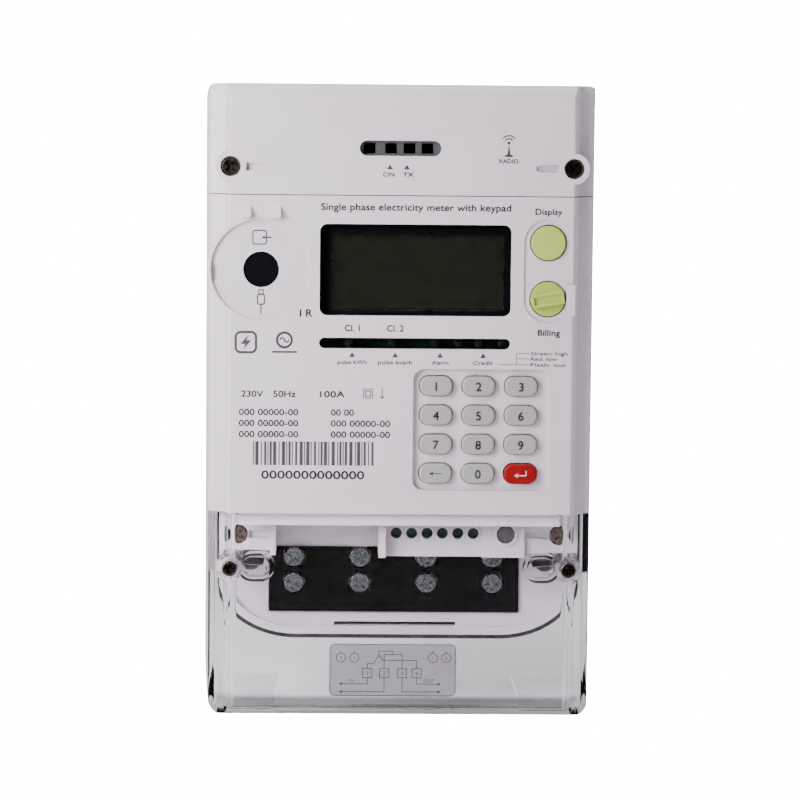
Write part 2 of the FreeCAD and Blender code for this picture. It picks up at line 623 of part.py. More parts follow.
def terminal_clamps():
    """Four brass clamps with a vertical cable bore and two screw holes."""
    clamps = []
    half, front, back, low, high = CLAMP
    for x in TERMINAL_X:
        clamp = box(x - half, x + half, front, back, low, high)
        holes = [cyl_z(x, CABLE_Y, CABLE_R, low - 1, high - 1.1)]
        holes += [cyl_y(x, z, TERMINAL_SHANK_R + 0.1, front - 1, CABLE_Y) for z in TERMINAL_Z]
        clamps.append(cut(clamp, holes))
    return group(clamps)


def terminal_screws():
    """Eight clamp screws, slotted and crossed, with heads near the block's face."""
    screws = []
    for column, x in enumerate(TERMINAL_X):
        for row, z in enumerate(TERMINAL_Z):
            turn = 35 + 25 * column - 15 * row
            place = (x, z, TERMINAL_HEAD_R, BLOCK_FRONT - 0.3, 2.4)
            screws.append(screw(*place, TERMINAL_SHANK_R, -34.2, (turn, turn + 90)))
    return group(screws)


def aux_terminals():
    """Six-way auxiliary terminal block behind the ringed holes."""
    x0 = AUX_X[0] - 3.0
    x1 = AUX_X[-1] + 2.5
    body = box(x0, x1, -57.6, -48.0, -49.4, -39.0)
    cuts = [cyl_z(x, AUX_WIRE_Y, AUX_WIRE_R, -50, -41.5) for x in AUX_X]
    cuts += [cyl_y(x, AUX_Z, 1.7, -58, -54.2) for x in AUX_X]
    return cut(body, cuts)


def aux_screws():
    """Small slotted screws of the auxiliary terminals."""
    screws = []
    for x in AUX_X:
        head = cyl_y(x, AUX_Z, 1.6, -57.4, -54.5)
        slot = box(-1.2, 1.2, -58, -56.8, -0.25, 0.25)
        slot.rotate(V(0, 0, 0), V(0, 1, 0), 30)
        slot.translate(V(x, 0, AUX_Z))
        screws.append(head.cut(slot))
    return group(screws)


def case_screws():
    """Two screws through the apron's tabs into the base."""
    x, z = CASE_SCREW
    return group([screw(s * x, z, 3.0, -60.6, 2.4, 1.4, -36, (45, 135)) for s in (-1, 1)])


def busbars():
    """Four copper bars from the clamps up into the meter."""
    bars = []
    for x in TERMINAL_X:
        bars.append(box(x - 4, x + 4, -21.0, -19.0, -60, -24.0))
    return group(bars)


# ---------------------------------------------------------------- electronics


def main_board():
    """Measuring and power board on four posts."""
    board = plate(0, 16, 112, 96, 2, BOARD_Y, BOARD_Y + BOARD_T)
    return cut(board, [cyl_y(x, z, 1.5, -20, 0) for x, z in BOARD_POSTS])


def board_screws():
    """Small screws of both boards: four into the base, five from behind into the main cover."""
    screws = [screw(x, z, 2.6, BOARD_Y - 1.8, 1.8, 1.15, -6, (0, 90)) for x, z in BOARD_POSTS]
    for x, z in COVER_POSTS:
        back = FRONT_BOARD_Y + BOARD_T
        turned = screw(-x, z, 2.3, -back - 1.6, 1.6, 1.05, -back + 6, (0, 90))
        turned.rotate(V(0, 0, 0), V(0, 0, 1), 180)
        screws.append(turned)
    return group(screws)


def display_board():
    """Front board that carries the display, the lamps and the contacts."""
    board = plate(0, 16, 112, 94, 2, FRONT_BOARD_Y, FRONT_BOARD_Y + BOARD_T)
    return cut(board, [cyl_y(x, z, 1.4, -65, -55) for x, z in COVER_POSTS])


def header_pins():
    """Two pin headers that join the boards."""
    rows = []
    for x in (-32, 22):
        shroud = box(x - 10, x + 10, -24, BOARD_Y, 56, 61)
        pins = [box(x - 8.9 + 2.54 * i, x - 8.3 + 2.54 * i, FRONT_BOARD_Y + BOARD_T, -23.9, 58.2, 58.8)
                for i in range(8)]
        rows.append(fuse([shroud] + pins))
    return group(rows)


def latching_relay():
    """Disconnecting relay in the line."""
    return plate(-1.5, -9, 40, 28, 1.5, -38, BOARD_Y)


def current_shunt():
    """Measuring shunt bridging the two line bars, with sense lugs."""
    x0, x1 = TERMINAL_X[0] - 4, TERMINAL_X[1] + 4
    return box(x0, x1, -22.2, -21.0, -31, -25)


def current_transformer():
    """Ring core of the neutral-line current transformer."""
    x, z = TERMINAL_X[3], -8.0
    ring = cyl_y(x, z, 10.5, -30, -18).cut(cyl_y(x, z, 4.5, -31, -17))
    foot = box(x - 8, x + 8, -18.2, BOARD_Y, z - 8, z + 8)
    return fuse([ring, foot])


def power_transformer():
    """Laminated core with a wound bobbin."""
    core = box(-50, -22, -38, -18, 22, 46).cut(box(-45, -27, -39, -17, 27, 41))
    leg = box(-38.5, -33.5, -38, -18, 26, 42)
    feet = box(-50, -22, -18.1, BOARD_Y, 22, 26)
    return fuse([core, leg, feet])


def transformer_coil():
    """Wound bobbin on the middle leg."""
    coil = plate(-36, 34, 15.4, 13.4, 2, -42, -14.5)
    return coil.cut(box(-38.6, -33.4, -38.1, -17.9, 20, 50))


def capacitors():
    """Three electrolytic capacitors standing on the main board."""
    return group([soften(cyl_y(x, z, r, y, BOARD_Y), y, 0.6)
                  for x, z, r, y in ((-8, 38, 5, -32), (6, 38, 5, -32), (20, 40, 6.3, -37))])


def backup_battery():
    """Lithium cell lying along Z in two clips' width of the main board."""
    cell = cyl_z(42, -20.5, 7.2, 14, 39)
    foot = box(37, 47, -14, BOARD_Y, 15, 38)
    return fuse([cell, foot])


def buzzer():
    """Sounder on the main board."""
    return cyl_y(2, 54, 6, -20.5, BOARD_Y).cut(cyl_y(2, 54, 1, -22, -18))


def microchips():
    """Flat packages on the two boards."""
    chips = [box(-12, 2, BOARD_Y - 1.4, BOARD_Y, 12, 26), box(-30, -22, BOARD_Y - 1.2, BOARD_Y, 10, 16),
             box(12, 20, BOARD_Y - 1.2, BOARD_Y, 18, 24)]
    behind = FRONT_BOARD_Y + BOARD_T
    chips.append(box(-20, -8, behind, behind + 1.4, -6, 6))
    return group(chips)


# ---------------------------------------------------------------- plug-in module and hanging lug


def module_shell(inset):
    """Outer or inner envelope of the module cover: rounded at the top edge and the top corners."""
    low = MODULE_Z + (inset if inset else 0)
    high = HALF_HEIGHT - inset
    half = HALF_WIDTH - inset
    solid = prism(cover_profile(inset), "xy", low, high)
    front = [(-half, low - 1, 0), (half, low - 1, 0), (half, high, CORNER), (-half, high, CORNER)]
    side = [(FRONT + inset, low - 1, 0), (RIM, low - 1, 0), (RIM, high, 0), (FRONT + inset, high, 4.0)]
    solid = solid.common(prism(front, "xz", FRONT - 5, RIM + 5))
    return solid.common(prism(side, "yz", -HALF_WIDTH - 5, HALF_WIDTH + 5))


def module_cover():
    """Cover of the plug-in module, with the lamp slot, screw bosses and seal slots."""
    bosses = []
    for side in (-1, 1):
        bosses.append(cyl_y(side * SCREW_X, MODULE_SCREW_Z, 5.0, FRONT, RIM - 0.5))
    limit = box(-HALF_WIDTH + 0.6, HALF_WIDTH - 0.6, FRONT, RIM, MODULE_Z, HALF_HEIGHT)
    outer = fuse([module_shell(0)] + [boss.common(limit) for boss in bosses])
    posts = [cyl_y(side * SCREW_X, MODULE_SCREW_Z, 4.2, FRONT + 1, RIM) for side in (-1, 1)]
    rib = box(-55, 55, FRONT + 1, FRONT + 2, 73, 75)
    shell = fuse([outer.cut(module_shell(WALL)), fuse(posts + [rib])])
    cuts = [plate(*MODULE_SLOT, 3, FRONT - 1, FRONT + 5)]
    for side in (-1, 1):
        cuts.append(cyl_y(side * SCREW_X, MODULE_SCREW_Z, 3.3, FRONT - 1, FRONT + 3.2))
        cuts.append(cyl_y(side * SCREW_X, MODULE_SCREW_Z, 1.8, FRONT, RIM + 1))
        cuts.append(seal_slot(side, side * 50.6, MODULE_SCREW_Z, FRONT))
    return cut(shell, cuts)


def module_screws():
    """Two sealable screws that hold the module cover to the base."""
    return group([screw(s * SCREW_X, MODULE_SCREW_Z, 3.0, FRONT + 0.9, 2.3, 1.4, RIM + 8, (40, 130))
                  for s in (-1, 1)])


def module_window():
    """Dark window with raised bars between the four lamp openings."""
    cx, cz, width, height = MODULE_SLOT
    body = plate(cx, cz, width + 2.4, height + 2.4, 2, FRONT + WALL, FRONT + WALL + 1.0)
    openings = [box(x - 1.9, x + 1.9, FRONT, FRONT + 8, cz - 1.7, cz + 1.7) for x in MODULE_LED_X]
    return cut(body, openings)


def module_leds():
    """Four lamps on the module board, behind the window's openings."""
    cz = MODULE_SLOT[1]
    return group([box(x - 1.6, x + 1.6, -67.5, -62.0, cz - 1.4, cz + 1.4) for x in MODULE_LED_X])


def module_board():
    """Radio board with its processor, card holder, plug and flat antenna."""
    board = plate(0, 86, 96, 27, 2, -62.0, -60.4)
    radio = box(14, 38, -60.5, -57.6, 77, 97)
    card = box(-38, -12, -60.5, -58.6, 78, 95)
    plug = box(-13, 13, -60.5, -33.2, 83.0, 89.0)
    antenna = box(-40, 40, -56, -44, 99.6, 100.4)
    return group([fuse([board, radio, card, plug]), antenna])


def module_socket():
    """Socket of the module, in the base's bay."""
    body = box(-14.2, 14.2, RIM + 0.2, -18, 82.6, 89.4)
    return body.cut(box(-13.2, 13.2, RIM, -24, 82.8, 89.2))


def hanging_lug():
    """Sliding hanging plate with a round hole, drawn in."""
    body = plate(0, LUG_TOP - LUG_LENGTH / 2, 2 * LUG_HALF, LUG_LENGTH, 3, -3.0, -1.2)
    return body.cut(cyl_y(0, LUG_TOP - 5.5, LUG_HOLE_R, -4, 0))


# ---------------------------------------------------------------- terminal cover


def terminal_shell(inset):
    """Outer or inner envelope of the clear cover, with a rounded lower front edge."""
    high = COVER_Z - GAP + 2 * inset
    low = -HALF_HEIGHT + inset
    half = HALF_WIDTH - inset
    back = 1.0 if inset else -1.0
    body = prism(cover_profile(inset), "xy", low, high)
    skirt = box(-half, half, RIM - 0.5, back, low, SKIRT_Z - GAP + inset)
    body = body.fuse(skirt)
    side = [(FRONT + inset, high + 1, 0), (FRONT + inset, low, 6.0 - inset), (2, low, 0), (2, high + 1, 0)]
    body = body.common(prism(side, "yz", -HALF_WIDTH - 5, HALF_WIDTH + 5))
    return body.common(u_prism(HALF_WIDTH, -HALF_HEIGHT, FOOT_CORNER, inset, high + 1, FRONT - 5, 5))


def terminal_cover():
    """Clear cover of the terminals and cables: screw columns and seal cups, open to the wall."""
    shell = terminal_shell(0).cut(terminal_shell(WALL))
    shell = shell.cut(box(-CABLE_SLOT_HALF, CABLE_SLOT_HALF, CABLE_SLOT_FRONT, 5, -HALF_HEIGHT - 1, -98))
    added = [foot_panel()]
    cuts = []
    for side in (-1, 1):
        x = side * SCREW_X
        column = cyl_y(x, COVER_SCREW_Z, 4.2, FRONT, -49.8)
        cup = plate(side * SEAL_CUP_X, SEAL_CUP_Z, 11.8, 9.2, 5, FRONT + 1, FRONT + 8.7)
        added += [column, cup]
        cuts.append(cyl_y(x, COVER_SCREW_Z, 3.0, FRONT - 1, FRONT + 5))
        cuts.append(cyl_y(x, COVER_SCREW_Z, 1.8, FRONT, -40))
        cuts.append(plate(side * SEAL_CUP_X, SEAL_CUP_Z, 9.0, 6.4, 4, FRONT + 3.6, FRONT + 14))
        cuts.append(seal_slot(side, side * (SEAL_CUP_X + 3.7), SEAL_CUP_Z, FRONT))
    return cut(fuse([shell] + added), cuts)


def foot_panel():
    """Thicker band inside the clear cover's foot, stepped down in the middle."""
    high, middle, low = -89.8, -97.2, -101.0
    points = [(-55, high, 0), (-38.7, high, 0.5), (-36.5, middle, 0.5), (34.0, middle, 0.5),
              (36.0, high, 0.5), (55, high, 0), (55, low, 0), (-55, low, 0)]
    band = prism(points, "xz", FRONT + 1, FRONT + WALL + 0.5)
    return band.common(terminal_shell(0))


def cover_screws():
    """Two captive sealable screws of the terminal cover."""
    return group([screw(s * SCREW_X, COVER_SCREW_Z, 2.55, FRONT + 2.6, 2.3, 1.4, -43, (15, 105))
                  for s in (-1, 1)])


def wiring_label():
    """Thin label behind the clear cover's front."""
    return plate(*LABEL, 2, FRONT + WALL, FRONT + WALL + 0.15)


# ---------------------------------------------------------------- all sub-parts


def all_parts():
    """Every sub-part by its node name."""
    makers = (
        base_case, rim_seal, front_cover, display_window, lcd_bezel, lcd_panel, backlight, led_lens,
        pulse_leds, optical_window, magnet_ring, infrared_diodes, keypad_mat, display_button,
        billing_plunger, billing_knob, tamper_plunger, cover_switch, terminal_block, terminal_clamps,
        terminal_screws, aux_terminals, aux_screws, case_screws, busbars, main_board, board_screws,
        display_board, header_pins, latching_relay, current_shunt, current_transformer,
        power_transformer, transformer_coil, capacitors, backup_battery, buzzer, microchips,
        module_cover, module_screws, module_window, module_leds, module_board, module_socket,
        hanging_lug, terminal_cover, cover_screws, wiring_label,
    )
    parts = {maker.__name__: maker() for maker in makers}
    for name, x, z in key_places():
        parts["key_" + name] = key(x, z)
    return parts


def main():
    os.makedirs("parts", exist_ok=True)
    for name, shape in all_parts().items():
        volume = shape.Volume / 1000
        print(f"{name:22s} solids {len(shape.Solids):2d}  valid {shape.isValid()}  {volume:8.2f} cm3")
        shape.exportStep(f"parts/{name}.step")


main()
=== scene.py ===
import json
import math

import bmesh
import bpy
from mathutils import Matrix, Vector


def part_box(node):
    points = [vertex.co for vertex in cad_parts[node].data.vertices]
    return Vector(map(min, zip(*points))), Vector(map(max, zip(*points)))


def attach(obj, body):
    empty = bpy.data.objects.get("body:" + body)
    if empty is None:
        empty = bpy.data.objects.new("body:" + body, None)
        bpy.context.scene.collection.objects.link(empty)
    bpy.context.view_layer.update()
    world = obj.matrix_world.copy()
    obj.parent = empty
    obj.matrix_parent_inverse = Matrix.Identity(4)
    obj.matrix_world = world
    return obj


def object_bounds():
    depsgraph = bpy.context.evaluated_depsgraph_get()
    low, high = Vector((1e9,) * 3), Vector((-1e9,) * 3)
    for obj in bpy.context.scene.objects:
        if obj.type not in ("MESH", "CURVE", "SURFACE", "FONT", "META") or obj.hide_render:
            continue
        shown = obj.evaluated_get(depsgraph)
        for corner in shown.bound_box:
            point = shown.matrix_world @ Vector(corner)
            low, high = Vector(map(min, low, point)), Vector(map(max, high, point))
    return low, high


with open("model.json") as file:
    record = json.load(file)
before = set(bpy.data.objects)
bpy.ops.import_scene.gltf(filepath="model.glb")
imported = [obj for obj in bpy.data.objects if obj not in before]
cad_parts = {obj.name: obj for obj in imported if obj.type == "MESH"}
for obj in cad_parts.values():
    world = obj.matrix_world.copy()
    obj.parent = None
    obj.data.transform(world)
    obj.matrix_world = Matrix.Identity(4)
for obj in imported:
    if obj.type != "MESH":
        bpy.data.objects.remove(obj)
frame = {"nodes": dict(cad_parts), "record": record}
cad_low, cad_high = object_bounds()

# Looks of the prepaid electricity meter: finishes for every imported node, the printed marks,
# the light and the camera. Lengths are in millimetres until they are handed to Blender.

MM = 0.001
NODES = frame["nodes"]
INK = 0.03                      # thickness of the printed marks


def node_box(name):
    """Lowest and highest corner of a node, in millimetres."""
    low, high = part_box(name)
    return low / MM, high / MM


def node_centre(name):
    low, high = node_box(name)
    return (low + high) / 2


FACE_Y = node_box("module_cover")[0].y            # front plane of the covers
LABEL_LOW, LABEL_HIGH = node_box("wiring_label")
BUTTON = node_centre("display_button")
PORT = node_centre("optical_window")

# ---------------------------------------------------------------- camera

CAMERA_TARGET = (-0.2, -72.0, 1.2)
CAMERA_DISTANCE = 1001.0
CAMERA_SIDE = 1.115             # degrees to the left of straight on
CAMERA_UP = 5.17                # degrees above the horizon
CAMERA_ROLL = 0.515             # degrees
CAMERA_LENS = 138.45            # for a sensor 36 mm wide


def make_camera():
    side = math.radians(CAMERA_SIDE)
    up = math.radians(CAMERA_UP)
    forward = Vector((math.sin(side) * math.cos(up), math.cos(side) * math.cos(up), -math.sin(up)))
    data = bpy.data.cameras.new("camera")
    data.lens = CAMERA_LENS
    data.sensor_width = 36.0
    data.clip_start = 0.05
    data.clip_end = 60.0
    camera = bpy.data.objects.new("camera", data)
    bpy.context.scene.collection.objects.link(camera)
    turn = forward.to_track_quat("-Z", "Y").to_matrix() @ Matrix.Rotation(math.radians(CAMERA_ROLL), 3, "Z")
    stand = Vector(CAMERA_TARGET) * MM - forward * CAMERA_DISTANCE * MM
    camera.matrix_world = Matrix.Translation(stand) @ turn.to_4x4()
    bpy.context.scene.camera = camera


# ---------------------------------------------------------------- light and stage

ROOM_FRONT = 0.012              # the dim room in front of the meter
ROOM_BACK = 1.3                 # the white paper behind it and to its right
BRIGHT_SIDE = (0.25, 1.0, 0.15)
SEEN_THROUGH = 0.75             # how bright the room looks through clear plastic
SEEN_WHITE = 40.0               # how bright the paper and the floor look


def area_light(name, place, aim, width, height, power, colour):
    data = bpy.data.lights.new(name, "AREA")
    data.shape = "RECTANGLE"
    data.size = width
    data.size_y = height
    data.energy = power
    data.color = colour
    light = bpy.data.objects.new(name, data)
    bpy.context.scene.collection.objects.link(light)
    place = Vector(place)
    light.location = place
    light.rotation_euler = (Vector(aim) - place).to_track_quat("-Z", "Y").to_euler()


def make_world():
    """White paper behind the meter and a dim room in front of it."""
    world = bpy.data.worlds.new("studio")
    bpy.context.scene.world = world
    world.use_nodes = True
    tree = world.node_tree
    background = tree.nodes["Background"]
    background.inputs["Color"].default_value = (1.0, 0.985, 0.995, 1)
    place = tree.nodes.new("ShaderNodeTexCoord")
    side = tree.nodes.new("ShaderNodeVectorMath")
    side.operation = "DOT_PRODUCT"
    side.inputs[1].default_value = BRIGHT_SIDE
    tree.links.new(place.outputs["Generated"], side.inputs[0])
    room = spread(tree, side.outputs["Value"], ROOM_FRONT, ROOM_BACK, -0.25, 0.3)
    ray = tree.nodes.new("ShaderNodeLightPath")
    strength = tree.nodes.new("ShaderNodeMapRange")
    strength.inputs["To Max"].default_value = SEEN_WHITE
    through = tree.nodes.new("ShaderNodeMapRange")
    through.inputs["To Max"].default_value = SEEN_THROUGH
    tree.links.new(room, through.inputs["To Min"])
    straight = tree.nodes.new("ShaderNodeMath")
    straight.operation = "SUBTRACT"
    straight.use_clamp = True
    tree.links.new(ray.outputs["Is Transmission Ray"], straight.inputs[0])
    tree.links.new(ray.outputs["Diffuse Depth"], straight.inputs[1])
    tree.links.new(straight.outputs["Value"], through.inputs["Value"])
    tree.links.new(through.outputs["Result"], strength.inputs["To Min"])
    tree.links.new(ray.outputs["Is Camera Ray"], strength.inputs["Value"])
    tree.links.new(strength.outputs["Result"], background.inputs["Strength"])


def make_stage():
    """A plain white floor at the foot of the meter."""
    mesh = bpy.data.meshes.new("floor")
    reach = 14.0
    corners = [(-reach, -reach, 0), (reach, -reach, 0), (reach, reach, 0), (-reach, reach, 0)]
    mesh.from_pydata(corners, [], [(0, 1, 2, 3)])
    floor = bpy.data.objects.new("floor", mesh)
    bpy.context.scene.collection.objects.link(floor)
    floor.location.z = cad_low.z - 0.0002
    material, tree, shader = new_material("floor_paint")
    shader.inputs["Base Color"].default_value = (0.86, 0.86, 0.87, 1)
    shader.inputs["Roughness"].default_value = 0.7
    path = tree.nodes.new("ShaderNodeLightPath")
    seen = tree.nodes.new("ShaderNodeMath")
    seen.operation = "MULTIPLY"
    seen.inputs[1].default_value = SEEN_WHITE
    tree.links.new(path.outputs["Is Camera Ray"], seen.inputs[0])
    shader.inputs["Emission Color"].default_value = (1, 1, 1, 1)
    tree.links.new(seen.outputs[0], shader.inputs["Emission Strength"])
    mesh.materials.append(material)
    floor.visible_glossy = False


def make_lights():
    area_light("key_light", (-0.28, -0.33, 0.14), (0, -0.07, 0), 0.22, 0.26, 3.1, (1.0, 0.98, 0.985))
    area_light("top_light", (-0.08, -0.22, 0.72), (0, -0.04, 0), 0.45, 0.30, 2.8, (1, 1, 1))
    area_light("fill_light", (0.9, -1.1, 0.2), (0, 0, 0), 0.8, 1.2, 0.25, (0.97, 0.98, 1.0))


# ---------------------------------------------------------------- materials


def new_material(name):
    material = bpy.data.materials.new(name)
    material.use_nodes = True
    tree = material.node_tree
    tree.nodes.clear()
    output = tree.nodes.new("ShaderNodeOutputMaterial")
    shader = tree.nodes.new("ShaderNodeBsdfPrincipled")
    tree.links.new(shader.outputs["BSDF"], output.inputs["Surface"])
    return material, tree, shader


def noise(tree, scale, detail=3.0, stretch=(1, 1, 1)):
    """Noise in the part's own frame; a scale of 1000 makes features of about a millimetre."""
    place = tree.nodes.new("ShaderNodeTexCoord")
    mapping = tree.nodes.new("ShaderNodeMapping")
    mapping.inputs["Scale"].default_value = stretch
    texture = tree.nodes.new("ShaderNodeTexNoise")
    texture.inputs["Scale"].default_value = scale
    texture.inputs["Detail"].default_value = detail
    tree.links.new(place.outputs["Object"], mapping.inputs["Vector"])
    tree.links.new(mapping.outputs["Vector"], texture.inputs["Vector"])
    return texture.outputs["Fac"]


def spread(tree, value, low, high, start=0.3, stop=0.7):
    """The value from start to stop, drawn out between low and high."""
    node = tree.nodes.new("ShaderNodeMapRange")
    node.inputs["From Min"].default_value = start
    node.inputs["From Max"].default_value = stop
    node.inputs["To Min"].default_value = low
    node.inputs["To Max"].default_value = high
    tree.links.new(value, node.inputs["Value"])
    return node.outputs["Result"]


def blend_colours(tree, factor, first, second):
    node = tree.nodes.new("ShaderNodeMix")
    node.data_type = "RGBA"
    tree.links.new(factor, node.inputs["Factor"])
    for socket, colour in ((node.inputs[6], first), (node.inputs[7], second)):
        if isinstance(colour, bpy.types.NodeSocket):
            tree.links.new(colour, socket)
        else:
            socket.default_value = (*colour, 1)
    return node.outputs[2]


def bump(tree, shader, height, depth):
    """Relief of that depth in millimetres."""
    node = tree.nodes.new("ShaderNodeBump")
    node.inputs["Distance"].default_value = depth * MM
    tree.links.new(height, node.inputs["Height"])
    tree.links.new(node.outputs["Normal"], shader.inputs["Normal"])


def shade(colour, factor):
    return tuple(min(1.0, c * factor) for c in colour)


def moulded(name, colour, rough=(0.42, 0.54), grain=2400, depth=0.012, mottle=0.03, wear=0.0, gloss=0.4):
    """Moulded plastic or rubber: spark-eroded grain, faint clouds of colour, lighter worn edges."""
    material, tree, shader = new_material(name)
    shader.inputs["Specular IOR Level"].default_value = gloss
    clouds = spread(tree, noise(tree, 45, 4), 0, 1)
    base = blend_colours(tree, clouds, shade(colour, 1 - mottle), shade(colour, 1 + mottle))
    if wear:
        edges = tree.nodes.new("ShaderNodeNewGeometry").outputs["Pointiness"]
        base = blend_colours(tree, spread(tree, edges, 0, wear, 0.52, 0.62), base, shade(colour, 1.25))
    tree.links.new(base, shader.inputs["Base Color"])
    tree.links.new(spread(tree, noise(tree, 160, 2), *rough), shader.inputs["Roughness"])
    bump(tree, shader, noise(tree, grain, 2), depth)
    return material


def metal(name, colour, rough=(0.25, 0.42), stretch=(1, 1, 1), tarnish=0.12):
    """Plated or bare metal with drawn streaks and a little tarnish."""
    material, tree, shader = new_material(name)
    shader.inputs["Metallic"].default_value = 1.0
    stains = spread(tree, noise(tree, 320, 5), 0, 1)
    base = blend_colours(tree, stains, shade(colour, 1 - tarnish), colour)
    tree.links.new(base, shader.inputs["Base Color"])
    tree.links.new(spread(tree, noise(tree, 900, 4, stretch), *rough), shader.inputs["Roughness"])
    bump(tree, shader, noise(tree, 1800, 3, stretch), 0.01)
    return material


FOOT_FADE = 1.6                 # height over which the painted shade of the clear cover's foot fades out
FOOT_DEPTH = (5, 9)             # and how far behind the front plane it starts and ends fading
# painted shade: share of its colour the clear cover keeps at the front of its foot, standing in for the shade
# there
FOOT_PAINTED_SHADE = 0.3


def clear(name, colour, rough=(0.02, 0.06), ior=1.3, depth=0.004, foot=None):
    """Clear or smoked plastic with faint moulding waves, and painted shade darkening the front of the foot if
    there is one.
    """
    material, tree, shader = new_material(name)
    shader.inputs["Transmission Weight"].default_value = 1.0
    shader.inputs["IOR"].default_value = ior
    clouds = spread(tree, noise(tree, 60, 3), 0, 1)
    base = blend_colours(tree, clouds, shade(colour, 0.985), colour)
    # painted shade: below the foot height and near the front plane the colour turns grey, where the cover's
    # bottom lies in shade
    if foot:
        place = tree.nodes.new("ShaderNodeTexCoord")
        axes = tree.nodes.new("ShaderNodeSeparateXYZ")
        tree.links.new(place.outputs["Object"], axes.inputs["Vector"])
        low = spread(tree, axes.outputs["Z"], 1, 0, foot * MM, (foot + FOOT_FADE) * MM)
        near, far = FOOT_DEPTH
        front = spread(tree, axes.outputs["Y"], 1, 0, (FACE_Y + near) * MM, (FACE_Y + far) * MM)
        painted_shade_mask = tree.nodes.new("ShaderNodeMath")
        painted_shade_mask.operation = "MULTIPLY"
        tree.links.new(low, painted_shade_mask.inputs[0])
        tree.links.new(front, painted_shade_mask.inputs[1])
        base = blend_colours(tree, painted_shade_mask.outputs["Value"], base, shade(colour, FOOT_PAINTED_SHADE))
    tree.links.new(base, shader.inputs["Base Color"])
    tree.links.new(spread(tree, noise(tree, 240, 3), *rough), shader.inputs["Roughness"])
    bump(tree, shader, noise(tree, 90, 2), depth)
    return material


def lit(name, colour, strength):
    """Lamp resin that glows a little."""
    material, tree, shader = new_material(name)
    clouds = spread(tree, noise(tree, 700, 2), 0, 1)
    tree.links.new(blend_colours(tree, clouds, shade(colour, 0.8), colour), shader.inputs["Base Color"])
    shader.inputs["Roughness"].default_value = 0.25
    shader.inputs["Emission Color"].default_value = (*colour, 1)
    shader.inputs["Emission Strength"].default_value = strength
    return material


def wound(name, colour, pitch, stretch):
    """Enamelled wire laid in turns."""
    material, tree, shader = new_material(name)
    place = tree.nodes.new("ShaderNodeTexCoord")
    wave = tree.nodes.new("ShaderNodeTexWave")
    wave.bands_direction = stretch
    wave.inputs["Scale"].default_value = 1000 / pitch / math.tau
    wave.inputs["Distortion"].default_value = 0.4
    tree.links.new(place.outputs["Object"], wave.inputs["Vector"])
    turns = wave.outputs["Fac"]
    tree.links.new(blend_colours(tree, turns, shade(colour, 0.45), colour), shader.inputs["Base Color"])
    tree.links.new(spread(tree, turns, 0.5, 0.3, 0, 1), shader.inputs["Roughness"])
    shader.inputs["Metallic"].default_value = 0.6
    bump(tree, shader, turns, 0.1)
    return material


def circuit_board(name, colour):
    """Solder mask over copper tracks, with fine board weave."""
    material, tree, shader = new_material(name)
    place = tree.nodes.new("ShaderNodeTexCoord")
    tracks = tree.nodes.new("ShaderNodeTexVoronoi")
    tracks.distance = "CHEBYCHEV"
    tracks.feature = "DISTANCE_TO_EDGE"
    tracks.inputs["Scale"].default_value = 210
    tree.links.new(place.outputs["Object"], tracks.inputs["Vector"])
    copper = spread(tree, tracks.outputs["Distance"], 1, 0, 0.02, 0.05)
    tree.links.new(blend_colours(tree, copper, colour, shade(colour, 2.1)), shader.inputs["Base Color"])
    tree.links.new(spread(tree, noise(tree, 1500, 2), 0.3, 0.45), shader.inputs["Roughness"])
    bump(tree, shader, tracks.outputs["Distance"], 0.04)
    return material


def printed_film(name, colour):
    """Matt label film with paper-like fibres."""
    material, tree, shader = new_material(name)
    fibres = spread(tree, noise(tree, 900, 4, (1, 1, 3)), 0, 1)
    tree.links.new(blend_colours(tree, fibres, shade(colour, 0.97), colour), shader.inputs["Base Color"])
    tree.links.new(spread(tree, noise(tree, 500, 2), 0.55, 0.68), shader.inputs["Roughness"])
    bump(tree, shader, noise(tree, 2500, 2), 0.004)
    return material


HOUSING = (0.66, 0.59, 0.655)


